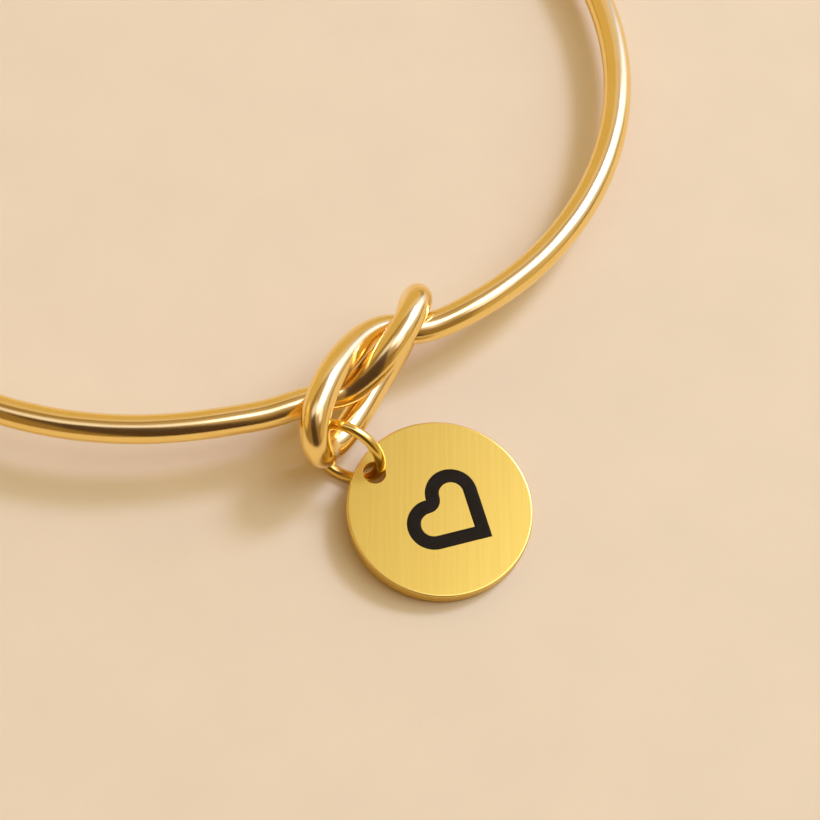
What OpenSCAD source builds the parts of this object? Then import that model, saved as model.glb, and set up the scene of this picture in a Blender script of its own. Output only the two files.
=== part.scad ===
// Wire bangle tied in one overhand knot, with a round charm on a jump ring.
// Everything is laid out on the bangle's own flat plane with the knot at -Y,
// then turned as one into the pose in which it rests on a table at z = 0.

/* [Bangle] */
// Thickness of the polished wire
wire_d = 2.4; // [1.6:0.1:4]
// Radius of the wire's centreline on each side
side_r = 31.5; // [24:0.1:40]
// How far each side's arc is moved outward, which makes the loop oval
side_shift = 5.3; // [0:0.1:10]
// Where the plain arcs start, as an angle from the knot
arc_start = 10; // [8:0.5:20]
// Angle between control points along the plain arc
arc_step = 7; // [4:0.5:10]
// How far outside its arc the left side leaves the knot
left_out = 0.95; // [0:0.05:2]
// How far inside its arc the right side leaves the knot
right_in = 1.25; // [0:0.05:2]
// Angle over which both come back to the arc
settle = 19; // [8:1:40]

/* [Knot] */
// Size of the knot against the one in the table
knot_scale = 1; // [0.9:0.01:1.2]
// Straight pieces between two control points inside the knot
knot_steps = 5; // [3:1:10]
// Straight pieces between two control points along the plain arc
arc_steps = 2; // [1:1:6]
// Flat sides round the wire
wire_sides = 20; // [12:2:32]

/* [Jump ring] */
// Thickness of the ring's wire
ring_wire = 0.88; // [0.6:0.02:1.4]
// Radius of the ring's centreline
ring_r = 2.99; // [2.5:0.01:5]
// Ring centre to the right of the knot's centre
ring_x = -3.9; // [-8:0.05:2]
// Ring centre behind the knot's centre
ring_y = -5.4; // [-10:0.05:2]
// Ring centre above the bangle's plane
ring_z = -2.1; // [-5:0.05:3]
// Ring turned about the side to side axis
ring_pitch = 39; // [0:0.1:90]
// Ring then turned about the front to back axis
ring_roll = -77.4; // [-90:0.1:90]

/* [Charm disc] */
// Disc diameter
disc_d = 15; // [10:0.5:25]
// Disc thickness
disc_t = 1.2; // [0.8:0.05:2]
// Rounding of the disc's two rims
rim_round = 0.15; // [0.05:0.01:0.4]
// Centre of the top face to the right of the knot's centre
disc_x = 1; // [-10:0.05:10]
// Centre of the top face behind the knot's centre
disc_y = -12.55; // [-20:0.05:-5]
// Centre of the top face above the bangle's plane
disc_z = -3.77; // [-8:0.01:0]
// Forward slope of the disc against the bangle's plane
disc_slope = 9.6; // [0:0.1:20]
// Sideways lean of the disc against the bangle's plane
disc_lean = 1.8; // [-10:0.1:10]
// Hole diameter
hole_d = 1.8; // [1.2:0.02:3]
// Distance of the hole from the disc's centre
hole_out = 6; // [3:0.05:9]
// Bearing of the hole seen from the disc's centre
hole_bearing = 126.1; // [90:0.1:180]

/* [Heart inlay] */
// Side of the square at the heart's core
heart_side = 4.3; // [2:0.1:6]
// Width of the heart's outline
heart_line = 1.15; // [0.4:0.05:1.5]
// Depth of the recess
recess_depth = 0.25; // [0.1:0.01:0.5]
// How far the inlay stands above the disc's face
heart_proud = 0.02; // [0:0.01:0.1]
// Gap between the inlay and its recess
inlay_gap = 0.03; // [0.02:0.01:0.1]
// Distance of the heart's middle from the disc's centre, away from the hole
heart_off = 1.4; // [0:0.1:3]

/* [Resting pose] */
// Angle by which the knot's side is lifted off the table
rest_pitch = 3.49; // [0:0.01:8]
// Sideways lean of the resting loop
rest_roll = 0.62; // [-3:0.01:3]

/* [Hidden] */
$fn = 96;
gold = [0.86, 0.67, 0.31];
pale_gold = [0.92, 0.75, 0.38];
inlay_black = [0.09, 0.08, 0.07];

// Knot table, read as control points of a smooth curve that starts on the left arc and ends
// on the right arc. Columns: across (+ right), back (+ towards the loop), up, from the knot's centre.
ACROSS = 0;
BACK = 1;
UP = 2;
knot_table = [
    [-8, -0.69, -0.22],
    [-5.32, -0.95, 0.2],
    [-2.28, -1.25, -0.77],
    [0.51, -1.29, 0.76],
    [2.8, -0.54, 2.23],
    [5.27, 1.28, 2.59],
    [7.07, 3.24, 1.78],
    [6.94, 4.49, -0.52],
    [5.8, 3.3, -2.9],
    [3.2, 1.2, -2.75],
    [0.25, -1, -2.6],
    [-2.65, -3.35, -2.75],
    [-5.35, -4.7, -2.2],
    [-6.31, -5.82, -0.41],
    [-6.52, -4.9, 2.15],
    [-4.54, -2.48, 3.32],
    [-1.68, -0.02, 2.63],
    [1, 1.92, 1.19],
    [3.74, 2.58, 0.18],
    [5.67, 1.38, -0.32],
    [8, 1.25, -0.4]
];
knot_count = len(knot_table);
knot_centre = [0, -side_r, 0];

// Each side leaves the knot a little off its arc, the left one outward and the right one inward,
// and comes back to the arc smoothly. The wide back of the loop takes the plain way round as
// half an ellipse.
function off_arc(a, side) = (side < 0 ? left_out : -right_in) * exp(-a / settle);
function arc_point(a, side) =
    let (r = side_r + off_arc(a, side))
    [side * (a < 90 ? r * sin(a) + side_shift : (r + side_shift) * sin(a)), -r * cos(a), 0];
arc_angles = [for (a = [arc_start:arc_step:177]) a];
arc_count = len(arc_angles);
right_arc = [for (a = arc_angles) arc_point(a, 1)];
left_arc = [for (i = [0:arc_count - 1]) arc_point(arc_angles[arc_count - 1 - i], -1)];
control = concat(
    [for (k = knot_table) knot_scale * [k[ACROSS], k[BACK], k[UP]] + knot_centre],
    right_arc,
    [[0, side_r, 0]],
    left_arc
);
control_count = len(control);

// Uniform cubic spline through the closed row of control points.
function spline(i, u) =
    let (
        n = control_count,
        a = control[(i + n - 1) % n],
        b = control[i % n],
        c = control[(i + 1) % n],
        d = control[(i + 2) % n],
        v = 1 - u
    )
    (v * v * v * a + (3 * u * u * u - 6 * u * u + 4) * b
        + (-3 * u * u * u + 3 * u * u + 3 * u + 1) * c + u * u * u * d) / 6;
function steps_at(i) = (i < knot_count || i == control_count - 1) ? knot_steps : arc_steps;
path = [for (i = [0:control_count - 1]) for (s = [0:steps_at(i) - 1]) spline(i, s / steps_at(i))];
path_count = len(path);

function unit(v) = v / norm(v);
function along(i) = unit(path[(i + 1) % path_count] - path[(i + path_count - 1) % path_count]);
// Carries a side direction from one ring of the tube to the next without twisting it.
function carried(n, t) = unit(n - (n * t) * t);
sides = [for (i = 0, n = carried([0, 0, 1], along(0)); i <= path_count;
    i = i + 1, n = carried(n, along(i % path_count))) n];
twist = let (t = along(0), a = sides[0], b = cross(t, a), e = sides[path_count])
    atan2(e * b, e * a);
function ring_corner(i, k) =
    let (
        t = along(i),
        n = sides[i],
        b = cross(t, n),
        a = 360 * k / wire_sides - twist * i / path_count
    )
    path[i] + wire_d / 2 * (cos(a) * n + sin(a) * b);
wire_points = [for (i = [0:path_count - 1]) for (k = [0:wire_sides - 1]) ring_corner(i, k)];
function corner_no(i, k) = (i % path_count) * wire_sides + k % wire_sides;
wire_faces = [for (i = [0:path_count - 1]) for (k = [0:wire_sides - 1])
    for (half = [0, 1]) half == 0
        ? [corner_no(i, k), corner_no(i + 1, k), corner_no(i + 1, k + 1)]
        : [corner_no(i, k), corner_no(i + 1, k + 1), corner_no(i, k + 1)]];

// Resting pose: the same turn as rotate([-rest_pitch, rest_roll, 0]) gives.
function rested(p) =
    let (
        y = p[1] * cos(rest_pitch) + p[2] * sin(rest_pitch),
        z = -p[1] * sin(rest_pitch) + p[2] * cos(rest_pitch)
    )
    [p[0] * cos(rest_roll) + z * sin(rest_roll), y, -p[0] * sin(rest_roll) + z * cos(rest_roll)];
function tipped(pitch, roll) = [sin(roll) * cos(pitch), -sin(pitch), cos(roll) * cos(pitch)];
ring_centre = knot_centre + [ring_x, ring_y, ring_z];
disc_centre = knot_centre + [disc_x, disc_y, disc_z];
ring_dir = rested(tipped(ring_pitch, ring_roll));
disc_dir = rested(tipped(disc_slope, disc_lean));
// The jump ring's lowest point carries the knot, so it sets the height of the whole.
lift = ring_r * sqrt(1 - ring_dir[2] * ring_dir[2]) + ring_wire / 2 - rested(ring_centre)[2];
back_edge = rested([0, side_r, 0])[1] + wire_d / 2;
front_edge = (rested(disc_centre) - disc_t / 2 * disc_dir)[1]
    - disc_d / 2 * sqrt(1 - disc_dir[1] * disc_dir[1]) - disc_t / 2 * abs(disc_dir[1]);
shift_y = -(back_edge + front_edge) / 2;

heart_high = heart_side * (1.5 / sqrt(2) + 0.5);

// Which node to show

module at_rest() {
    translate([0, shift_y, lift]) rotate([-rest_pitch, rest_roll, 0]) children();
}

// Local frame of the disc: origin at the middle of its top face, +X towards the hole.
module on_disc() {
    translate(disc_centre) rotate([disc_slope, disc_lean, 0]) rotate([0, 0, hole_bearing]) children();
}

module bangle_wire() {
    color(gold) at_rest() polyhedron(points = wire_points, faces = wire_faces, convexity = 8);
}

module jump_ring() {
    color(gold) at_rest() translate(ring_centre) rotate([ring_pitch, ring_roll, 0])
        rotate_extrude($fn = 96) translate([ring_r, 0]) circle(d = ring_wire, $fn = 32);
}

// Heart with its tip at the origin and its lobes along +X; inset moves the outline inward.
module heart_shape(inset) {
    s = heart_side;
    rotate([0, 0, -45]) difference() {
        union() {
            translate([inset, inset]) square(s - inset);
            translate([s / 2, s]) circle(r = s / 2 - inset);
            translate([s, s / 2]) circle(r = s / 2 - inset);
        }
        if (inset > 0) translate([s, s]) circle(r = inset);
    }
}

// Outline of the heart as a band; grow is positive for the recess and negative for the inlay.
module heart_band(grow, low, high) {
    translate([-heart_off - heart_high / 2, 0, low]) linear_extrude(height = high - low)
        difference() {
            heart_shape(-grow);
            heart_shape(heart_line + grow);
        }
}

module disc_blank() {
    r = disc_d / 2;
    c = rim_round;
    rotate_extrude($fn = 180) union() {
        translate([0, -disc_t]) square([r - c, disc_t]);
        translate([0, -disc_t + c]) square([r, disc_t - 2 * c]);
        translate([r - c, -c]) circle(r = c, $fn = 32);
        translate([r - c, -disc_t + c]) circle(r = c, $fn = 32);
    }
}

module disc_charm() {
    color(pale_gold) at_rest() on_disc() difference() {
        disc_blank();
        translate([hole_out, 0, -disc_t - 1]) cylinder(d = hole_d, h = disc_t + 2);
        heart_band(0, -recess_depth, 1);
    }
}

module heart_inlay() {
    color(inlay_black) at_rest() on_disc()
        heart_band(-inlay_gap, -recess_depth + inlay_gap, heart_proud);
}

bangle_wire();
jump_ring();
disc_charm();
heart_inlay();
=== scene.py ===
"""Dresses and lights a knotted wire bangle with a round charm on a jump ring.

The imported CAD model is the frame. Each metal piece is worked out here again as a fine closed
surface from the same measures, gets its finish, and stands for its CAD node. Shapes are laid out
in millimetres on the bangle's own flat plane, with the knot at -Y, and are then turned as one into
the pose in which the bangle rests on the table, in metres.
"""

import logging
import math
from collections.abc import Sequence
from dataclasses import dataclass, field
from enum import Enum

import bpy
import numpy as np
from mathutils import Matrix, Vector
from numpy.typing import NDArray


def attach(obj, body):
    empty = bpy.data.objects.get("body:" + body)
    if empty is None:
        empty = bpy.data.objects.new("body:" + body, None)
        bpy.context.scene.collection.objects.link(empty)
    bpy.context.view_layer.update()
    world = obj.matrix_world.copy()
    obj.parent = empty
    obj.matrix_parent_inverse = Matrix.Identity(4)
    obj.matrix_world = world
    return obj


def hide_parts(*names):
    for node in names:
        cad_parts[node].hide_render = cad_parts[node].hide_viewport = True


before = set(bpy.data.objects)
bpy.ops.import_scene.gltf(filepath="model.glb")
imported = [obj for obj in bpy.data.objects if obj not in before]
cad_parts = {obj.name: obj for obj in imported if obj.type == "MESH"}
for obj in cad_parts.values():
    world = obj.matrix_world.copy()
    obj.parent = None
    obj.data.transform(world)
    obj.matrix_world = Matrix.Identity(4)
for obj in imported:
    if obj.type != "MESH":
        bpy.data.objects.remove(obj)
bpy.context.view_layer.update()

Floats = NDArray[np.float64]
Whole = NDArray[np.int64]
Colour = tuple[float, float, float]
# A turn scaled to metres, and a shift in metres.
Pose = tuple[Floats, Floats]

MM = 0.001
# Points that agree to this many digits are one point.
JOIN_DIGITS = 7
BODY = "root"
LOG = logging.getLogger("bangle")


class Slot(Enum):
    """The record's material slots."""

    POLISHED_GOLD = "polished_gold"
    RING_GOLD = "ring_gold"
    SATIN_GOLD = "satin_gold"
    BLACK_ENAMEL = "black_enamel"


# measures and surfaces


def unit(vectors: Floats) -> Floats:
    """Each vector divided by its own length.

    Args:
        vectors: rows of vectors, or one vector.

    Returns:
        The same rows, each with length 1.
    """
    return vectors / np.linalg.norm(vectors, axis=-1, keepdims=True)


def turn(pitch_deg: float, roll_deg: float) -> Floats:
    """Turn about the side to side axis X, and after it about the front to back axis Y.

    Args:
        pitch_deg: angle about X.
        roll_deg: angle about Y.

    Returns:
        The 3 by 3 matrix.
    """
    a, b = math.radians(pitch_deg), math.radians(roll_deg)
    about_x = np.array([[1, 0, 0], [0, math.cos(a), -math.sin(a)], [0, math.sin(a), math.cos(a)]])
    about_y = np.array([[math.cos(b), 0, math.sin(b)], [0, 1, 0], [-math.sin(b), 0, math.cos(b)]])
    return about_y @ about_x


@dataclass(frozen=True)
class Surface:
    """A closed surface: its points, its four-cornered and three-cornered faces, and two values per
    point that finishes read. `grain` is the place within the finish's lines, and `wear` goes from 0
    on an open face to 1 on a rubbed edge."""

    points: Floats
    quads: Whole
    triangles: Whole
    grain: Floats
    wear: Floats

    @staticmethod
    def joined(parts: Sequence["Surface"]) -> "Surface":
        """Parts as one surface, with points at the same place made one. A four-cornered face with
        two corners at one place becomes a triangle.

        Args:
            parts: the patches, whose shared borders have the same points.

        Returns:
            The joined surface.
        """
        starts = np.cumsum([0] + [len(p.points) for p in parts[:-1]])
        points = np.concatenate([p.points for p in parts])
        quads = np.concatenate([p.quads + s for p, s in zip(parts, starts)])
        triangles = np.concatenate([p.triangles + s for p, s in zip(parts, starts)])
        _, first, which = np.unique(
            np.round(points, JOIN_DIGITS), axis=0, return_index=True, return_inverse=True
        )
        which = which.reshape(-1)
        quads, triangles = which[quads], which[triangles]
        same = quads == np.roll(quads, -1, axis=1)
        shut = same.sum(axis=1)
        corners = (same[shut == 1].argmax(axis=1)[:, None] + [1, 2, 3]) % 4
        pinched = np.take_along_axis(quads[shut == 1], corners, axis=1)
        thin = (triangles == np.roll(triangles, -1, axis=1)).any(axis=1)
        return Surface(
            points[first],
            quads[shut == 0],
            np.concatenate([triangles[~thin], pinched]),
            np.concatenate([p.grain for p in parts])[first],
            np.concatenate([p.wear for p in parts])[first],
        )

    def volume(self) -> float:
        """Volume inside the surface, as the sum of the pyramids from the origin to each face."""
        q = self.quads
        faces = np.concatenate([q[:, [0, 1, 2]], q[:, [0, 2, 3]], self.triangles])
        a, b, c = (self.points[faces[:, k]] for k in range(3))
        return float(np.einsum("ij,ij->i", a, np.cross(b, c)).sum() / 6)

    def outward(self) -> "Surface":
        """The same surface, turned round as a whole where its volume is below 0. Patches that
        disagree with each other stay so."""
        if self.volume() > 0:
            return self
        return Surface(
            self.points, self.quads[:, ::-1], self.triangles[:, ::-1], self.grain, self.wear
        )

    def moved(self, matrix: Floats, shift: Floats) -> "Surface":
        """The same surface after a turn and a shift.

        Args:
            matrix: 3 by 3 turn.
            shift: the way moved after the turn.

        Returns:
            The moved surface.
        """
        return Surface(
            self.points @ matrix.T + shift, self.quads, self.triangles, self.grain, self.wear
        )

    def mesh_object(self, name: str, sharp_deg: float = 40.0) -> bpy.types.Object:
        """Puts the surface, given in metres, into a new object at the origin.

        Args:
            name: name of the piece.
            sharp_deg: edges that turn by more than this stay crisp.

        Returns:
            The object, linked to the scene.
        """
        mesh = bpy.data.meshes.new(name)
        corners = np.concatenate([self.quads.ravel(), self.triangles.ravel()]).astype(np.int32)
        sizes = np.repeat([4, 3], [len(self.quads), len(self.triangles)]).astype(np.int32)
        mesh.vertices.add(len(self.points))
        mesh.vertices.foreach_set("co", self.points.astype(np.float32).ravel())
        mesh.loops.add(len(corners))
        mesh.loops.foreach_set("vertex_index", corners)
        mesh.polygons.add(len(sizes))
        mesh.polygons.foreach_set("loop_start", (np.cumsum(sizes) - sizes).astype(np.int32))
        mesh.polygons.foreach_set("use_smooth", np.ones(len(sizes), bool))
        mesh.update(calc_edges=True)
        mesh.validate()
        grain = mesh.attributes.new("grain", "FLOAT_VECTOR", "POINT")
        grain.data.foreach_set("vector", self.grain.astype(np.float32).ravel())
        wear = mesh.attributes.new("wear", "FLOAT", "POINT")
        wear.data.foreach_set("value", self.wear.astype(np.float32))
        mesh.set_sharp_from_angle(angle=math.radians(sharp_deg))
        piece = bpy.data.objects.new(name, mesh)
        bpy.context.scene.collection.objects.link(piece)
        return piece


def grid(
    places: Floats,
    grain: Floats,
    wear: Floats | float = 0.0,
    close_rows: bool = False,
    close_columns: bool = True,
) -> Surface:
    """Surface over a grid of places: row i and column k are joined to row i + 1 and column k + 1.

    Args:
        places: rows by columns by 3.
        grain: rows by columns by 3.
        wear: one value, or rows by columns.
        close_rows: whether the last row meets the first.
        close_columns: whether the last column meets the first.

    Returns:
        The surface, which may be open at its borders.
    """
    rows, columns = places.shape[:2]
    i = np.arange(rows if close_rows else rows - 1)[:, None]
    k = np.arange(columns if close_columns else columns - 1)[None, :]
    below, beside = (i + 1) % rows, (k + 1) % columns
    quads = np.stack(
        [i * columns + k, below * columns + k, below * columns + beside, i * columns + beside], -1
    )
    return Surface(
        places.reshape(-1, 3),
        quads.reshape(-1, 4),
        np.zeros((0, 3), np.int64),
        grain.reshape(-1, 3),
        np.broadcast_to(wear, (rows, columns)).reshape(-1).astype(float),
    )


def fan(rim: Floats, middle: Floats, grain_rim: Floats, grain_middle: Floats) -> Surface:
    """Flat face from a closed row of points to one point in its middle.

    Args:
        rim: the closed row of points.
        middle: the point in the middle.
        grain_rim: grain of each rim point.
        grain_middle: grain of the middle.

    Returns:
        The face as a ring of triangles.
    """
    n = len(rim)
    k = np.arange(n)
    return Surface(
        np.concatenate([rim, middle[None]]),
        np.zeros((0, 4), np.int64),
        np.stack([k, (k + 1) % n, np.full(n, n)], -1),
        np.concatenate([grain_rim, grain_middle[None]]),
        np.zeros(n + 1),
    )


# finishes


class Nodes:
    """A short way to write a material's node tree. A mix node's sockets are known by number: the
    share, the two colours and the result."""

    NOISE_ROUGHNESS = 0.55
    NOISE_LOW, NOISE_HIGH = 0.3, 0.7
    SHARE, FIRST, SECOND, MIXED = 0, 6, 7, 2

    def __init__(self, name: str) -> None:
        """Starts a material with one Principled shader.

        Args:
            name: name of the material.
        """
        self.material = bpy.data.materials.new(name)
        self.material.use_nodes = True
        self.tree = self.material.node_tree
        self.tree.nodes.clear()
        self.shader = self.add("ShaderNodeBsdfPrincipled")
        out = self.add("ShaderNodeOutputMaterial")
        self.link(self.shader, "BSDF", out, "Surface")

    def add(
        self, kind: str, settings: dict[str, str] | None = None, **inputs: float
    ) -> bpy.types.Node:
        """Adds a node.

        Args:
            kind: Blender's name for the node.
            settings: properties of the node.
            **inputs: values of its sockets, with _ for a space.

        Returns:
            The node.
        """
        node = self.tree.nodes.new(kind)
        for name, value in (settings or {}).items():
            setattr(node, name, value)
        for name, value in inputs.items():
            node.inputs[name.replace("_", " ")].default_value = value
        return node

    def link(
        self, source: bpy.types.Node, output: str | int, to: bpy.types.Node, socket: str | int
    ) -> None:
        """Joins an output to a socket.

        Args:
            source: node that gives the value.
            output: its output.
            to: node that takes it.
            socket: its socket.
        """
        self.tree.links.new(source.outputs[output], to.inputs[socket])

    def noise(
        self, source: bpy.types.Node, output: str, scale: float, detail: float
    ) -> bpy.types.Node:
        """Noise over a place.

        Args:
            source: node that gives the place.
            output: its output.
            scale: how many features fit in one unit.
            detail: how many finer layers are added.

        Returns:
            The noise node.
        """
        node = self.add(
            "ShaderNodeTexNoise", Scale=scale, Detail=detail, Roughness=self.NOISE_ROUGHNESS
        )
        self.link(source, output, node, "Vector")
        return node

    def ranged(self, noise: bpy.types.Node, low: float, high: float) -> bpy.types.Node:
        """A noise value spread from low to high.

        Args:
            noise: node that gives the value, mostly from NOISE_LOW to NOISE_HIGH.
            low: what NOISE_LOW becomes.
            high: what NOISE_HIGH becomes.

        Returns:
            The node whose output is Result.
        """
        node = self.add(
            "ShaderNodeMapRange",
            From_Min=self.NOISE_LOW,
            From_Max=self.NOISE_HIGH,
            To_Min=low,
            To_Max=high,
        )
        self.link(noise, "Fac", node, "Value")
        return node

    def mixed(
        self, share: bpy.types.Node, output: str, first: Colour, second: Colour
    ) -> bpy.types.Node:
        """A colour between two others.

        Args:
            share: node that gives the share of the second colour, from 0 to 1.
            output: its output.
            first: the colour at share 0.
            second: the colour at share 1.

        Returns:
            The node whose output is MIXED.
        """
        node = self.add("ShaderNodeMix", {"data_type": "RGBA"})
        node.inputs[self.FIRST].default_value = (*first, 1)
        node.inputs[self.SECOND].default_value = (*second, 1)
        self.link(share, output, node, self.SHARE)
        return node

    def clouded(self, noise: bpy.types.Node, first: Colour, second: Colour) -> bpy.types.Node:
        """A colour that drifts between two others with a noise.

        Args:
            noise: the noise node.
            first: the colour where the noise is low.
            second: the colour where it is high.

        Returns:
            The node whose output is MIXED.
        """
        return self.mixed(self.ranged(noise, 0.0, 1.0), "Result", first, second)

    def relief(self, noise: bpy.types.Node, height_um: float) -> bpy.types.Node:
        """Bumps that follow a noise.

        Args:
            noise: the noise node.
            height_um: full height of the bumps in thousandths of a millimetre.

        Returns:
            The node whose output is Normal.
        """
        node = self.add("ShaderNodeBump", Distance=height_um * MM * MM, Strength=1.0)
        self.link(noise, "Fac", node, "Height")
        return node


@dataclass(frozen=True)
class MetalFinish:
    """Plated metal: two near tones that drift into each other, in clouds or along the lines of its
    brushing, fine lines along the grain, soft uneven polish, and edges that are rubbed brighter."""

    slot: Slot
    tone: Colour
    deep_tone: Colour
    rubbed_tone: Colour
    roughness: float
    roughness_swing: float
    line_scale: float
    line_height_um: float
    wave_height_um: float
    wave_mm: float = 3.0
    wave_detail: float = 2.0
    line_detail: float = 3.0
    streaked: bool = False

    def material(self) -> bpy.types.Material:
        """Builds the finish as a node tree on Object coordinates and the grain attribute."""
        n = Nodes(self.slot.value)
        place = n.add("ShaderNodeTexCoord")
        grain = n.add("ShaderNodeAttribute", {"attribute_name": "grain"})
        wear = n.add("ShaderNodeAttribute", {"attribute_name": "wear"})
        cloud = n.noise(place, "Object", 1 / (self.wave_mm * MM), self.wave_detail)
        lines = n.noise(grain, "Vector", self.line_scale, self.line_detail)

        tone = n.clouded(lines if self.streaked else cloud, self.tone, self.deep_tone)
        rubbed = n.mixed(wear, "Fac", self.tone, self.rubbed_tone)
        n.link(tone, n.MIXED, rubbed, n.FIRST)
        n.link(rubbed, n.MIXED, n.shader, "Base Color")

        low, high = self.roughness - self.roughness_swing, self.roughness + self.roughness_swing
        n.link(n.ranged(lines, low, high), "Result", n.shader, "Roughness")

        waves = n.relief(cloud, self.wave_height_um)
        scratches = n.relief(lines, self.line_height_um)
        n.link(waves, "Normal", scratches, "Normal")
        n.link(scratches, "Normal", n.shader, "Normal")
        n.shader.inputs["Metallic"].default_value = 1.0
        return n.material


@dataclass(frozen=True)
class EnamelFinish:
    """Hard black enamel: nearly even, with a faint pebble on its surface."""

    slot: Slot
    tone: Colour
    worn_tone: Colour
    roughness: float
    gloss: float
    gloss_tone: Colour
    roughness_swing: float = 0.06
    cloud_mm: float = 0.8
    cloud_detail: float = 3.0
    pebble_mm: float = 0.12
    pebble_detail: float = 2.0
    pebble_height_um: float = 2.0

    def material(self) -> bpy.types.Material:
        """Builds the finish as a node tree on Object coordinates."""
        n = Nodes(self.slot.value)
        place = n.add("ShaderNodeTexCoord")
        cloud = n.noise(place, "Object", 1 / (self.cloud_mm * MM), self.cloud_detail)
        pebble = n.noise(place, "Object", 1 / (self.pebble_mm * MM), self.pebble_detail)
        tone = n.clouded(cloud, self.tone, self.worn_tone)
        n.link(tone, n.MIXED, n.shader, "Base Color")
        low, high = self.roughness - self.roughness_swing, self.roughness + self.roughness_swing
        n.link(n.ranged(cloud, low, high), "Result", n.shader, "Roughness")
        n.link(n.relief(pebble, self.pebble_height_um), "Normal", n.shader, "Normal")
        n.shader.inputs["Specular IOR Level"].default_value = self.gloss
        n.shader.inputs["Specular Tint"].default_value = (*self.gloss_tone, 1)
        return n.material


POLISHED_GOLD = MetalFinish(
    Slot.POLISHED_GOLD,
    tone=(1.0, 0.74, 0.27),
    deep_tone=(0.98, 0.71, 0.23),
    rubbed_tone=(1.0, 0.75, 0.30),
    roughness=0.18,
    roughness_swing=0.03,
    line_scale=9.0,
    line_height_um=0.5,
    wave_height_um=14.0,
)
RING_GOLD = MetalFinish(
    Slot.RING_GOLD,
    tone=(0.95, 0.66, 0.15),
    deep_tone=(0.90, 0.60, 0.11),
    rubbed_tone=(1.0, 0.72, 0.2),
    roughness=0.2,
    roughness_swing=0.04,
    line_scale=14.0,
    line_height_um=0.5,
    wave_height_um=6.0,
    wave_mm=1.5,
)
SATIN_GOLD = MetalFinish(
    Slot.SATIN_GOLD,
    tone=(0.80, 0.54, 0.078),
    deep_tone=(0.73, 0.478, 0.058),
    rubbed_tone=(0.97, 0.68, 0.18),
    roughness=0.29,
    roughness_swing=0.01,
    line_scale=4.0,
    line_height_um=0.01,
    wave_height_um=3.0,
    streaked=True,
)
BLACK_ENAMEL = EnamelFinish(
    Slot.BLACK_ENAMEL,
    tone=(0.008, 0.006, 0.003),
    worn_tone=(0.013, 0.010, 0.006),
    roughness=0.46,
    gloss=0.1,
    gloss_tone=(1.0, 0.68, 0.18),
)


# the bangle's pieces


def finished(surface: Surface, name: str, finish: MetalFinish | EnamelFinish) -> bpy.types.Object:
    """Turns a surface in metres into a dressed piece that stands for its CAD node.

    Args:
        surface: the closed surface.
        name: the CAD node's name; the piece is named after it.
        finish: its finish.

    Returns:
        The piece.
    """
    piece = surface.outward().mesh_object(f"{name}_fine")
    piece.data.materials.append(finish.material())
    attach(piece, BODY)
    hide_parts(name)
    low, high = surface.points.min(axis=0) / MM, surface.points.max(axis=0) / MM
    LOG.info(
        "%s: %d faces, from %s to %s mm, %s",
        piece.name,
        len(piece.data.polygons),
        low.round(2).tolist(),
        high.round(2).tolist(),
        finish.slot.value,
    )
    return piece


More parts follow.
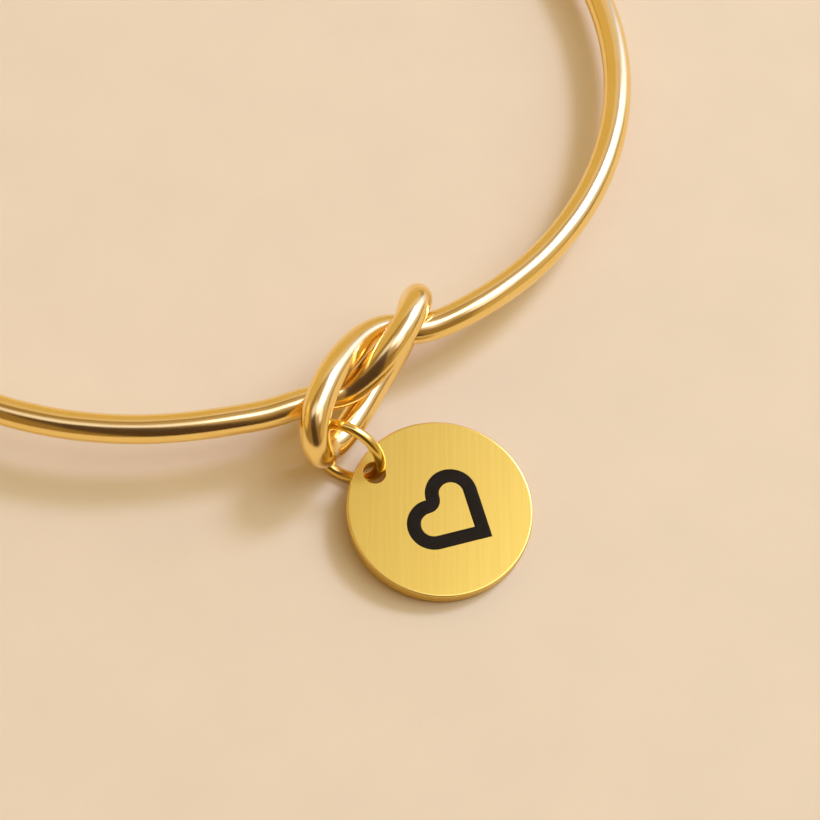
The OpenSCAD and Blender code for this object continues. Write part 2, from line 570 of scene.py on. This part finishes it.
@dataclass
class Bangle:
    """The wire: two plain arcs, the wide back, and an overhand knot."""

    wire_d: float = 2.4
    side_r: float = 31.5
    side_shift: float = 5.3
    arc_start: float = 10.0
    arc_end: float = 177.0
    arc_step: float = 7.0
    left_out: float = 0.95
    right_in: float = 1.25
    settle: float = 19.0
    # Rings of the mesh this far apart, points of the curve between two control points, sides.
    spacing: float = 0.22
    fine: int = 60
    sides: int = 48
    unevenness: float = 0.012
    # Each wave: its turns along the loop and their start, its turns round the wire and their start.
    waves: tuple[tuple[float, float, float, float], ...] = (
        (31, 0, 1, 1),
        (47, 2, 2, 0),
        (67, 4, 1, -2),
    )
    # How far the grain runs on for each millimetre of wire.
    grain_run: float = 0.04
    # Control points of the knot from its left end to its right end: across, back, up.
    knot: tuple[tuple[float, float, float], ...] = (
        (-8, -0.69, -0.22),
        (-5.32, -0.95, 0.2),
        (-2.28, -1.25, -0.77),
        (0.51, -1.29, 0.76),
        (2.8, -0.54, 2.23),
        (5.27, 1.28, 2.59),
        (7.07, 3.24, 1.78),
        (6.94, 4.49, -0.52),
        (5.8, 3.3, -2.9),
        (3.2, 1.2, -2.75),
        (0.25, -1, -2.6),
        (-2.65, -3.35, -2.75),
        (-5.35, -4.7, -2.2),
        (-6.31, -5.82, -0.41),
        (-6.52, -4.9, 2.15),
        (-4.54, -2.48, 3.32),
        (-1.68, -0.02, 2.63),
        (1, 1.92, 1.19),
        (3.74, 2.58, 0.18),
        (5.67, 1.38, -0.32),
        (8, 1.25, -0.4),
    )

    @property
    def knot_at(self) -> Floats:
        """Place on the bangle's plane from which knot, ring and disc are measured."""
        return np.array([0, -self.side_r, 0])

    def arc(self, angles: Floats, side: int) -> Floats:
        """Plain arc on one side.

        A point at angle a from the knot lies on a circle of radius side_r about a centre that is
        side_shift out to the side. It starts left_out outside it or right_in inside it, and comes
        back by the factor exp(-a / settle). Past 90 degrees the arc is a quarter of an ellipse.

        Args:
            angles: degrees from the knot.
            side: 1 for the right side, -1 for the left.

        Returns:
            One control point for each angle.
        """
        off = (self.left_out if side < 0 else -self.right_in) * np.exp(-angles / self.settle)
        r, a = self.side_r + off, np.radians(angles)
        across = np.where(
            angles < 90, r * np.sin(a) + self.side_shift, (r + self.side_shift) * np.sin(a)
        )
        return np.stack([side * across, -r * np.cos(a), np.zeros_like(a)], -1)

    def control(self) -> Floats:
        """The closed row of control points: knot, right arc, back, left arc."""
        angles = np.arange(self.arc_start, self.arc_end, self.arc_step)
        return np.concatenate(
            [
                np.array(self.knot) + self.knot_at,
                self.arc(angles, 1),
                [[0, self.side_r, 0]],
                self.arc(angles, -1)[::-1],
            ]
        )

    def centreline(self) -> Floats:
        """Closed centreline of the wire with points at an even spacing.

        Between the control points b and c, with a before and d after them, the point at share u is
        ((1-u)^3 a + (3u^3-6u^2+4) b + (-3u^3+3u^2+3u+1) c + u^3 d) / 6, the uniform cubic spline.

        Returns:
            Points on the line, the last one step before the first.
        """
        control = self.control()
        u = np.arange(self.fine) / self.fine
        v = 1 - u
        weights = np.stack([v**3, 3 * u**3 - 6 * u**2 + 4, -3 * u**3 + 3 * u**2 + 3 * u + 1, u**3])
        near = np.stack([np.roll(control, shift, axis=0) for shift in (1, 0, -1, -2)])
        dense = np.einsum("wu,wnc->nuc", weights / 6, near).reshape(-1, 3)
        loop = np.concatenate([dense, dense[:1]])
        length = np.concatenate([[0], np.cumsum(np.linalg.norm(np.diff(loop, axis=0), axis=1))])
        count = round(length[-1] / self.spacing)
        even = np.arange(count) * length[-1] / count
        return np.stack([np.interp(even, length, loop[:, c]) for c in range(3)], -1)

    @staticmethod
    def frames(path: Floats, tried: int = 600) -> tuple[Floats, Floats]:
        """Two side directions at each point of a closed path that don't twist about it.

        Directions are spread over a sphere in a spiral, and the one that stays furthest from the
        path's own is made square to the path at each point. How far that turns from point to point
        is summed up and taken back, and what is left over after the whole loop is spread evenly, so
        that the last point meets the first.

        Args:
            path: points of the closed path.
            tried: how many directions are tried.

        Returns:
            The first and second side direction of each point.
        """
        along = unit(np.roll(path, -1, axis=0) - np.roll(path, 1, axis=0))
        k = np.arange(tried) + 0.5
        height, way = 1 - 2 * k / tried, np.pi * (1 + 5**0.5) * k
        flat = np.sqrt(1 - height**2)
        tries = np.stack([flat * np.cos(way), flat * np.sin(way), height], -1)
        fixed = tries[np.abs(tries @ along.T).max(axis=1).argmin()]
        first = unit(fixed - (along @ fixed)[:, None] * along)
        ahead, onward = np.roll(first, -1, axis=0), np.roll(along, -1, axis=0)
        carried = unit(first - np.einsum("ij,ij->i", first, onward)[:, None] * onward)
        turned = np.arctan2(
            np.einsum("ij,ij->i", ahead, np.cross(onward, carried)),
            np.einsum("ij,ij->i", ahead, carried),
        )
        total = turned.sum()
        left_over = (total + np.pi) % (2 * np.pi) - np.pi
        angle = -(np.cumsum(turned) - turned) + left_over * np.arange(len(path)) / len(path)
        second = np.cross(along, first)
        c, s = np.cos(angle)[:, None], np.sin(angle)[:, None]
        return c * first + s * second, c * second - s * first

    def surface(self) -> Surface:
        """The wire's skin: at path point s and angle a round it, the centre plus the radius times
        cos(a) of the first side direction and sin(a) of the second. The radius dips by up to
        `unevenness` in long uneven waves, each sin(along s + start) cos(round a + start), as on
        wire that was bent by hand."""
        path = self.centreline()
        first, second = self.frames(path)
        a = 2 * np.pi * np.arange(self.sides) / self.sides
        s = 2 * np.pi * np.arange(len(path)) / len(path)
        wave = sum(
            np.sin(along * s + start)[:, None] * np.cos(about * a + shift)[None]
            for along, start, about, shift in self.waves
        ) / (2 * len(self.waves))
        radius = self.wire_d / 2 - self.unevenness * (0.5 + wave)
        section = np.stack([np.cos(a), np.sin(a), 0 * a], -1)
        x, y = section[None, :, :1], section[None, :, 1:2]
        places = path[:, None] + radius[..., None] * (x * first[:, None] + y * second[:, None])
        grain = section[None] * self.wire_d / 2 + self.grain_run * path[:, None]
        return grid(places, grain, close_rows=True)

    def build(self, pose: Pose) -> bpy.types.Object:
        """The wire at its place, dressed in polished gold."""
        return finished(self.surface().moved(*pose), "bangle_wire", POLISHED_GOLD)


@dataclass
class JumpRing:
    """The small ring through the knot's lower loop and the disc's hole."""

    wire: float = 0.88
    radius: float = 2.99
    centre: tuple[float, float, float] = (-3.9, -5.4, -2.1)
    pitch: float = 39.0
    roll: float = -77.4
    steps: int = 220
    sides: int = 36
    grain_run: float = 0.1

    @property
    def matrix(self) -> Floats:
        """The ring's own turn on the bangle's plane."""
        return turn(self.pitch, self.roll)

    def surface(self) -> Surface:
        """A torus: at angle s round the ring and a round its wire, (radius + wire/2 cos a) out at
        angle s, and wire/2 sin a up."""
        s = 2 * np.pi * np.arange(self.steps)[:, None] / self.steps
        a = 2 * np.pi * np.arange(self.sides)[None] / self.sides
        out = self.radius + self.wire / 2 * np.cos(a)
        places = np.stack(
            [out * np.cos(s), out * np.sin(s), self.wire / 2 * np.sin(a) + 0 * s], -1
        )
        run = self.grain_run
        grain = np.stack([np.cos(a) + run * np.cos(s), np.sin(a) + run * np.sin(s), 0 * a * s], -1)
        return grid(places, grain, close_rows=True)

    def build(self, pose: Pose) -> bpy.types.Object:
        """The ring at its place, dressed in its deeper gold."""
        return finished(self.surface().moved(*pose), "jump_ring", RING_GOLD)


@dataclass
class Disc:
    """The flat charm with its hole, softened rims and the heart's recess."""

    diameter: float = 15.0
    thickness: float = 1.2
    rim: float = 0.15
    centre: tuple[float, float, float] = (1.0, -12.55, -3.77)
    slope: float = 9.6
    lean: float = 1.8
    hole_d: float = 1.8
    hole_out: float = 6.0
    hole_soft: float = 0.07
    bearing: float = 126.1
    heart_side: float = 4.3
    heart_line: float = 1.15
    heart_off: float = 1.4
    # The recess's outline lies heart_fit inside the full heart, because its notch has to be round.
    heart_fit: float = 0.012
    heart_core: float = 0.61
    heart_steps: int = 240
    recess: float = 0.25
    # Way of the brushing on the face, and how far the grain runs on along it and along a wall.
    brushed_deg: float = 118.2
    brushed_run: float = 0.02
    wall_run: float = 0.04
    # Points round the disc, the angle at which the face is cut and the points along the cut, the
    # steps over a rounded edge, and the shares between two loops that get a ring of points.
    around: int = 360
    cut_deg: int = 58
    cut_steps: int = 60
    edge_steps: int = 9
    face_shares: tuple[float, ...] = (0, 0.02, 0.2, 0.4, 0.6, 0.8, 0.98, 1)

    @property
    def matrix(self) -> Floats:
        """The disc's own turn on the bangle's plane: about its own axis, until +X points to the
        hole, and then by its slope and its lean."""
        c, s = math.cos(math.radians(self.bearing)), math.sin(math.radians(self.bearing))
        return turn(self.slope, self.lean) @ np.array([[c, -s, 0], [s, c, 0], [0, 0, 1]])

    @property
    def heart_tip(self) -> float:
        """Place of the heart's tip on the line from the disc's middle towards the hole. The heart
        is (1.5 / root 2 + 0.5) sides long, and its middle lies heart_off from the disc's, away from
        the hole."""
        return -self.heart_off - self.heart_side * (1.5 / math.sqrt(2) + 0.5) / 2

    @property
    def heart_middle(self) -> Floats:
        """The point from which each heart outline is seen whole, on the face: from the tip,
        heart_core of the way to the far corner of the heart's square."""
        return np.array([self.heart_tip + self.heart_core * self.heart_side * math.sqrt(2), 0.0])

    def heart(self, inset: float, angles: Floats) -> Floats:
        """A heart's outline, a given way inside the full one, at given angles about its middle.

        In the heart's own square, of side s with the tip at its corner, the outline goes up the
        line x = inset, round the lobe of radius s/2 - inset about (s/2, s), round the notch (s, s)
        at the distance inset, round the other lobe, and back along the line y = inset. The outline
        is read as a radius over the angle about the middle, and the points nearest to the tip and
        the notch are put on them.

        Args:
            inset: the way inside the full outline, above 0.
            angles: radians about the heart's middle, rising.

        Returns:
            One point on the face for each angle.
        """
        s, t = self.heart_side, np.linspace(0, 1, self.heart_steps)[:, None]
        lobe, notch = s / 2 - inset, np.array([s, s])
        swing = np.pi * (1 - t)
        half = np.concatenate(
            [
                np.concatenate([0 * t + inset, inset + (s - inset) * t], 1),
                np.array([s / 2, s]) + lobe * np.concatenate([np.cos(swing), np.sin(swing)], 1),
                notch
                - inset
                * np.concatenate([np.cos(np.pi / 4 * t), np.sin(np.pi / 4 * t)], 1),
            ]
        )
        line = np.concatenate([half, half[::-1, ::-1]])
        turned = np.stack([line[:, 0] + line[:, 1], line[:, 1] - line[:, 0]], -1) / math.sqrt(2)
        seen = turned + [self.heart_tip, 0] - self.heart_middle
        bearing, reach = np.arctan2(seen[:, 1], seen[:, 0]), np.linalg.norm(seen, axis=1)
        order = np.argsort(bearing)
        r = np.interp(angles, bearing[order], reach[order], period=2 * np.pi)
        points = np.stack([r * np.cos(angles), r * np.sin(angles)], -1)
        corners = seen[[0, len(half) - 1]]
        nearest = np.linalg.norm(points[:, None] - corners[None], axis=2).argmin(axis=0)
        points[nearest] = corners
        return points + self.heart_middle

    def face_loop(self, radius: float, hole_side: bool) -> Floats:
        """Border of one part of the face. The face is cut by a straight line between the heart and
        the hole, so that each part has one opening.

        Args:
            radius: radius of the flat face.
            hole_side: whether the part with the hole is meant.

        Returns:
            Points of the closed border, on the circle first and then along the cut.
        """
        step = 2 * np.pi / self.around
        cut = round(self.cut_deg * self.around / 360)
        k = np.arange(-cut, cut + 1) if hole_side else np.arange(cut, self.around - cut + 1)
        circle = radius * np.stack([np.cos(k * step), np.sin(k * step)], -1)
        # The cut's points are the same for both parts, from its lower end to its upper end.
        share = np.linspace(-1, 1, self.cut_steps + 2)[1:-1]
        line = radius * np.stack(
            [np.full_like(share, math.cos(cut * step)), share * math.sin(cut * step)], -1
        )
        return np.concatenate([circle, line[::-1] if hole_side else line])

    def grain(self, flat: Floats) -> Floats:
        """Grain of the straight brushing, fine across it and long along it.

        Args:
            flat: places on the face in millimetres, rows by 2 or more.

        Returns:
            Grain of each place.
        """
        a = math.radians(self.brushed_deg)
        along = flat[..., 0] * math.cos(a) + flat[..., 1] * math.sin(a)
        across = flat[..., 1] * math.cos(a) - flat[..., 0] * math.sin(a)
        return np.stack([across, self.brushed_run * along, 0 * along], -1)

    def flat_ring(self, inner: Floats, outer: Floats, height: float) -> Surface:
        """Flat face between two loops with the same number of points: at share v, the inner point
        plus v of the way to the outer one. Shares near 0 and 1 keep the shading flat.

        Args:
            inner: inner loop.
            outer: outer loop.
            height: height of the face.

        Returns:
            The face.
        """
        v = np.array(self.face_shares)[:, None, None]
        flat = inner + v * (outer - inner)
        places = np.concatenate([flat, np.full(flat.shape[:2] + (1,), height)], -1)
        return grid(places, self.grain(places))

    def wall(
        self, loops: Sequence[Floats], heights: Sequence[float], wear: Sequence[float]
    ) -> Surface:
        """Wall through loops at given heights.

        Args:
            loops: the loops, with the same number of points.
            heights: the height of each.
            wear: how rubbed each is.

        Returns:
            The wall.
        """
        height = np.array(heights)[:, None, None]
        flat = np.stack(list(loops))
        places = np.concatenate([flat, np.broadcast_to(height, (*flat.shape[:2], 1))], -1)
        grain = self.wall_run * places * [1, 1, 0] + height * [0, 0, 1.0]
        return grid(places, grain, np.array(wear)[:, None])

    def surface(self) -> Surface:
        """The whole disc, closed: top face in two parts, recess, bottom face, hole and side. The
        rims and the hole's edges are quarter circles carried round.

        Known fault: the recess's two walls and the hole's wall are wound against the other
        patches, so their faces look inwards."""
        r, c, t, h = self.diameter / 2, self.rim, self.thickness, self.hole_soft
        flat_r, hole_r = r - c, self.hole_d / 2
        hole_at = np.array([self.hole_out, 0.0])
        near, far = self.face_loop(flat_r, True), self.face_loop(flat_r, False)
        middle = self.heart_middle

        def seen(loop: Floats, centre: Floats) -> Floats:
            """Angle of each point about a centre."""
            return np.arctan2(loop[:, 1] - centre[1], loop[:, 0] - centre[0])

        def hole(radius: float) -> Floats:
            """Loop round the hole, point for point with the border."""
            a = seen(near, hole_at)
            return hole_at + radius * np.stack([np.cos(a), np.sin(a)], -1)

        outline = self.heart(self.heart_fit, seen(far, middle))
        inner = self.heart(self.heart_line, seen(far, middle))
        quarter = np.radians(np.linspace(0, 90, self.edge_steps))
        circle = 2 * np.pi * np.arange(self.around) / self.around
        ring = np.stack([np.cos(circle), np.sin(circle)], -1)

        rim_r = flat_r + c * np.sin(quarter)
        rim_z = -c + c * np.cos(quarter)
        side_r = np.concatenate([rim_r, rim_r[::-1]])
        side_z = np.concatenate([rim_z, (-t - rim_z)[::-1]])
        side_wear = np.tile(np.sin(2 * quarter), 2)
        side = self.wall([x * ring for x in side_r], list(side_z), list(side_wear))

        hole_rs = hole_r + h * (1 - np.sin(quarter))
        hole_zs = -h * (1 - np.cos(quarter))
        hole_r_all = np.concatenate([hole_rs, hole_rs[::-1]])
        hole_z_all = np.concatenate([hole_zs, (-t - hole_zs)[::-1]])
        bore = self.wall([hole(x) for x in hole_r_all], list(hole_z_all), [0.0] * len(hole_r_all))

        def low(points: Floats) -> Floats:
            """Puts flat points on the bottom face."""
            return np.concatenate([points, np.full((len(points), 1), -t)], 1)

        island = np.concatenate([inner, np.zeros((len(inner), 1))], 1)
        centre_top = np.array([*middle, 0.0])
        far_low, centre_low = low(far), np.array([*middle, -t])
        return Surface.joined(
            [
                self.flat_ring(outline, far, 0.0),
                self.flat_ring(hole(hole_r + h), near, 0.0),
                fan(island, centre_top, self.grain(island), self.grain(centre_top)),
                self.flat_ring(inner, outline, -self.recess),
                fan(far_low[::-1], centre_low, self.grain(far_low[::-1]), self.grain(centre_low)),
                self.flat_ring(near, hole(hole_r + h), -t),
                self.wall([outline, outline], [0.0, -self.recess], [0.0, 0.0]),
                self.wall([inner, inner], [-self.recess, 0.0], [0.0, 0.0]),
                side,
                bore,
            ]
        )

    def build(self, pose: Pose) -> bpy.types.Object:
        """The disc at its place, dressed in satin gold."""
        return finished(self.surface().moved(*pose), "disc_charm", SATIN_GOLD)


@dataclass
class HeartInlay:
    """The enamel in the recess."""

    disc: Disc
    gap: float = 0.03
    proud: float = 0.02
    soft: float = 0.05
    around: int = 300
    # Points of the section over a rounded corner, over its flat top and over its base.
    bend_steps: int = 5
    top_steps: int = 5
    base_steps: int = 3

    def surface(self) -> Surface:
        """A closed band: its section is a rectangle with rounded upper corners, and at angle a the
        section's place across the band is an outline of the heart further inside."""
        d = self.disc
        a = -np.pi + 2 * np.pi * np.arange(self.around) / self.around
        low, high, s = -d.recess + self.gap, self.proud, self.soft
        left, right = self.gap, d.heart_line - self.gap
        bend = np.radians(np.linspace(0, 90, self.bend_steps))
        inset = np.concatenate(
            [
                [left],
                left + s * (1 - np.cos(bend)),
                np.linspace(left + s, right - s, self.top_steps + 2)[1:-1],
                right - s * (1 - np.cos(bend))[::-1],
                [right],
                np.linspace(right, left, self.base_steps + 2)[1:-1],
            ]
        )
        rise = high - s * (1 - np.sin(bend))
        height = np.concatenate(
            [[low], rise, [high] * self.top_steps, rise[::-1], [low] * (1 + self.base_steps)]
        )
        rows = np.stack([d.heart(float(x), a) for x in inset])
        up = np.broadcast_to(height[:, None, None], (*rows.shape[:2], 1))
        places = np.concatenate([rows, up], -1)
        return grid(places, places, close_rows=True)

    def build(self, pose: Pose) -> bpy.types.Object:
        """The inlay at its disc's place, dressed in black enamel."""
        return finished(self.surface().moved(*pose), "heart_inlay", BLACK_ENAMEL)


@dataclass
class Bracelet:
    """The whole: bangle, jump ring, disc and inlay, and the pose in which they rest."""

    bangle: Bangle = field(default_factory=Bangle)
    ring: JumpRing = field(default_factory=JumpRing)
    disc: Disc = field(default_factory=Disc)
    rest_pitch: float = 3.49
    rest_roll: float = 0.62

    def rested(self, matrix: Floats, at: Floats) -> Pose:
        """Joins a piece's own place with the resting pose.

        The lift puts the jump ring's lowest point on the table: its radius times the sine of the
        ring's lean, plus half its wire, less the height of its centre. The shift in Y puts the
        origin halfway between the back of the wire and the front of the disc.

        Args:
            matrix: the piece's own turn on the bangle's plane.
            at: the piece's own place on the bangle's plane.

        Returns:
            The whole turn, scaled to metres, and the whole shift in metres.
        """
        pose = turn(-self.rest_pitch, self.rest_roll)
        knot = self.bangle.knot_at
        ring_dir = pose @ self.ring.matrix[:, 2]
        disc_dir = pose @ self.disc.matrix[:, 2]
        ring_z = (pose @ (knot + self.ring.centre))[2]
        lift = self.ring.radius * math.sqrt(1 - ring_dir[2] ** 2) + self.ring.wire / 2 - ring_z
        back = (pose @ np.array([0, self.bangle.side_r, 0]))[1] + self.bangle.wire_d / 2
        half = self.disc.thickness / 2
        front = (
            (pose @ (knot + self.disc.centre) - half * disc_dir)[1]
            - self.disc.diameter / 2 * math.sqrt(1 - disc_dir[1] ** 2)
            - half * abs(disc_dir[1])
        )
        shift = pose @ at + [0, -(back + front) / 2, lift]
        return pose @ matrix * MM, shift * MM

    def build(self) -> list[bpy.types.Object]:
        """Builds and dresses the four pieces.

        Returns:
            The pieces.
        """
        knot = self.bangle.knot_at
        on_disc = self.rested(self.disc.matrix, knot + self.disc.centre)
        return [
            self.bangle.build(self.rested(np.eye(3), np.zeros(3))),
            self.ring.build(self.rested(self.ring.matrix, knot + self.ring.centre)),
            self.disc.build(on_disc),
            HeartInlay(self.disc).build(on_disc),
        ]


# table, light and camera


def direction(azimuth: float, elevation: float) -> Vector:
    """Direction from the bangle to something round it.

    Args:
        azimuth: degrees from +Y, which is away from the charm, towards +X.
        elevation: degrees above the table.

    Returns:
        The unit direction.
    """
    a, e = math.radians(azimuth), math.radians(elevation)
    return Vector((math.sin(a) * math.cos(e), math.cos(a) * math.cos(e), math.sin(e)))


@dataclass(frozen=True)
class Softbox:
    """A soft lamp that looks at the bangle. Its glow fades towards its rim, as a real softbox's
    does, so that mirror images of it have soft edges."""

    name: str
    azimuth: float
    elevation: float
    wide: float
    high: float
    glow: Colour
    soft: float = 0.3
    spin: float = 0.0
    distance: float = 1.4

    def place(self) -> bpy.types.Object:
        """Puts the lamp into the scene, turned about its own axis by spin degrees.

        It covers `wide` degrees to each side and `high` up and down. At the place (u, v) on it,
        from 0 to 1 each way, the distance r from its middle is 2 |(u, v) - 1/2|, and the glow falls
        smoothly from whole at r = 1 - soft to none at r = 1. The power of pi for each square metre
        makes the glow the lamp's own brightness.

        Returns:
            The lamp.
        """
        lamp = bpy.data.lights.new(self.name, "AREA")
        lamp.shape = "RECTANGLE"
        lamp.size, lamp.size_y = (
            2 * self.distance * math.tan(math.radians(half)) for half in (self.wide, self.high)
        )
        lamp.energy = math.pi * lamp.size * lamp.size_y
        lamp.use_nodes = True
        tree = lamp.node_tree
        emission = tree.nodes["Emission"]
        emission.inputs["Color"].default_value = (*self.glow, 1)
        spot = tree.nodes.new("ShaderNodeNewGeometry")
        middle = tree.nodes.new("ShaderNodeVectorMath")
        middle.operation = "DISTANCE"
        middle.inputs[1].default_value = (0.5, 0.5, 0)
        fade = tree.nodes.new("ShaderNodeMapRange")
        fade.interpolation_type = "SMOOTHSTEP"
        fade.inputs["From Min"].default_value = (1 - self.soft) / 2
        fade.inputs["From Max"].default_value = 0.5
        fade.inputs["To Min"].default_value, fade.inputs["To Max"].default_value = 1.0, 0.0
        tree.links.new(spot.outputs["Parametric"], middle.inputs[0])
        tree.links.new(middle.outputs["Value"], fade.inputs["Value"])
        tree.links.new(fade.outputs["Result"], emission.inputs["Strength"])
        made = bpy.data.objects.new(self.name, lamp)
        way = direction(self.azimuth, self.elevation)
        facing = way.to_track_quat("Z", "Y").to_matrix().to_4x4()
        made.matrix_world = (
            Matrix.Translation(way * self.distance)
            @ facing
            @ Matrix.Rotation(math.radians(self.spin), 4, "Z")
        )
        made.visible_camera = False
        bpy.context.scene.collection.objects.link(made)
        return made


@dataclass
class Studio:
    """Pale table, soft lamps from the right, above and behind, and a dark card on the camera's side
    that only mirrors see."""

    table_tone: Colour = (0.82, 0.65, 0.27)
    table_shade: float = 0.965
    table_cloud: float = 120.0
    table_detail: float = 6.0
    table_roughness: float = 0.8
    table_gloss: float = 0.2
    table_radii: tuple[float, ...] = (0.0, 0.3, 3.0, 12.0)
    table_sides: int = 96
    fill: Colour = (0.295, 0.188, 0.075)
    # The core casts the shadows, window and halo draw the long highlights, and the others lift
    # single stretches of the wire and the disc.
    lamps: tuple[Softbox, ...] = (
        Softbox("core", 76.0, 47.0, 9.0, 9.0, (19.5, 22.5, 60.0), soft=0.5),
        Softbox("window", 103.0, 56.0, 19.0, 44.0, (2.5, 3.0, 5.6), soft=0.7, spin=27.0),
        Softbox("pale", 90.0, 38.0, 36.0, 36.0, (0.22, 0.30, 0.70), soft=0.5),
        Softbox("skylight", 266.0, 75.0, 14.0, 26.0, (0.50, 0.60, 1.20), soft=0.5, spin=-30.0),
        Softbox("strip", 172.0, 76.0, 8.0, 18.0, (0.45, 0.50, 1.10), soft=0.6),
        Softbox("tail", 145.0, 48.0, 15.0, 17.0, (0.85, 0.85, 1.70), soft=0.6),
        Softbox("low", 74.0, 15.0, 17.0, 26.0, (0.55, 0.75, 1.90), soft=0.6),
        Softbox("halo", 113.0, 64.0, 40.0, 66.0, (0.18, 0.17, 0.18), soft=0.3, spin=25.0),
        Softbox("sky", 50.0, 36.0, 44.0, 15.0, (0.10, 0.15, 0.40), soft=0.5, spin=40.0),
        Softbox("back", 0.0, 28.0, 54.0, 32.0, (0.38, 0.31, 0.17), soft=0.15),
        Softbox("front", 140.0, 14.0, 26.0, 16.0, (0.30, 0.25, 0.15), soft=0.3),
        Softbox("left", 292.0, 22.0, 26.0, 20.0, (0.50, 0.35, 0.14), soft=0.4),
    )
    card_tone: Colour = (0.075, 0.045, 0.022)
    card_way: tuple[float, float] = (206.0, 30.0)
    card_half: tuple[float, float] = (17.5, 44.0)
    card_spin: float = 28.0
    card_distance: float = 1.0

    def table(self) -> bpy.types.Object:
        """A round table top as a disc of rings, at z = 0, with its own plain finish."""
        radii = np.array(self.table_radii)[:, None]
        a = 2 * np.pi * np.arange(self.table_sides)[None] / self.table_sides
        places = np.stack([radii * np.cos(a), radii * np.sin(a), 0 * radii * a], -1)
        top = Surface.joined([grid(places, places)])
        table = top.mesh_object("table")
        n = Nodes("pale_table")
        place = n.add("ShaderNodeTexCoord")
        cloud = n.noise(place, "Object", self.table_cloud, self.table_detail)
        red, green, blue = (self.table_shade * part for part in self.table_tone)
        tone = n.clouded(cloud, self.table_tone, (red, green, blue))
        n.link(tone, n.MIXED, n.shader, "Base Color")
        n.shader.inputs["Roughness"].default_value = self.table_roughness
        n.shader.inputs["Specular IOR Level"].default_value = self.table_gloss
        table.data.materials.append(n.material)
        return table

    def card(self) -> bpy.types.Object:
        """The dark card, a flat grid that is seen in mirrors only."""
        v, u = np.meshgrid(np.linspace(-0.5, 0.5, 3), np.linspace(-0.5, 0.5, 3), indexing="ij")
        wide, high = (2 * self.card_distance * math.tan(math.radians(a)) for a in self.card_half)
        flat = np.stack([u * wide, v * high, 0 * u], -1)
        way = direction(*self.card_way)
        spin = Matrix.Rotation(math.radians(self.card_spin), 3, "Z")
        facing = np.array(way.to_track_quat("Z", "Y").to_matrix() @ spin)
        places = flat @ facing.T + np.array(way) * self.card_distance
        card = grid(places, places, close_columns=False).mesh_object("dark_card")
        n = Nodes("dark_card")
        n.shader.inputs["Base Color"].default_value = (*self.card_tone, 1)
        n.shader.inputs["Roughness"].default_value = 1.0
        card.data.materials.append(n.material)
        card.visible_camera = card.visible_diffuse = card.visible_shadow = False
        return card

    def build(self) -> None:
        """Sets up table, dark card, fill light and lamps."""
        self.table()
        self.card()
        world = bpy.data.worlds.new("studio")
        bpy.context.scene.world = world
        world.use_nodes = True
        light = world.node_tree.nodes["Background"]
        light.inputs["Color"].default_value = (*self.fill, 1)
        for lamp in self.lamps:
            lamp.place()
        bpy.context.scene.view_settings.view_transform = "Standard"


@dataclass(frozen=True)
class PhotoCamera:
    """The camera that was fitted to the photograph, in millimetres and degrees. Azimuth 0 looks
    along +Y, and a positive roll tips the camera's right side up."""

    azimuth: float = -28.003
    elevation: float = 61.870
    roll: float = 2.088
    distance: float = 189.27
    aim: tuple[float, float, float] = (3.24, -24.70, 0.0)
    lens: float = 100.47
    sensor: float = 36.0
    near: float = 5.0

    def place(self) -> bpy.types.Object:
        """Puts the camera into the scene and makes it the scene's camera."""
        back = direction(180.0 - self.azimuth, self.elevation)
        level = Vector((0, 0, 1)).cross(back).normalized()
        upward = back.cross(level)
        r = math.radians(self.roll)
        right = level * math.cos(r) + upward * math.sin(r)
        up = back.cross(right)
        eye = (Vector(self.aim) + back * self.distance) * MM
        data = bpy.data.cameras.new("photo_camera")
        data.lens, data.sensor_width, data.clip_start = self.lens, self.sensor, self.near * MM
        camera = bpy.data.objects.new("photo_camera", data)
        camera.matrix_world = Matrix(
            [(*row, place) for row, place in zip(zip(right, up, back), eye)] + [(0, 0, 0, 1)]
        )
        bpy.context.scene.collection.objects.link(camera)
        bpy.context.scene.camera = camera
        return camera


def main() -> None:
    """Builds the camera, the bracelet and the studio in order."""
    logging.basicConfig(level=logging.INFO, format="%(message)s")
    PhotoCamera().place()
    pieces = Bracelet().build()
    Studio().build()
    LOG.info("%d pieces in all", len(pieces))


if __name__ == "__main__":
    main()
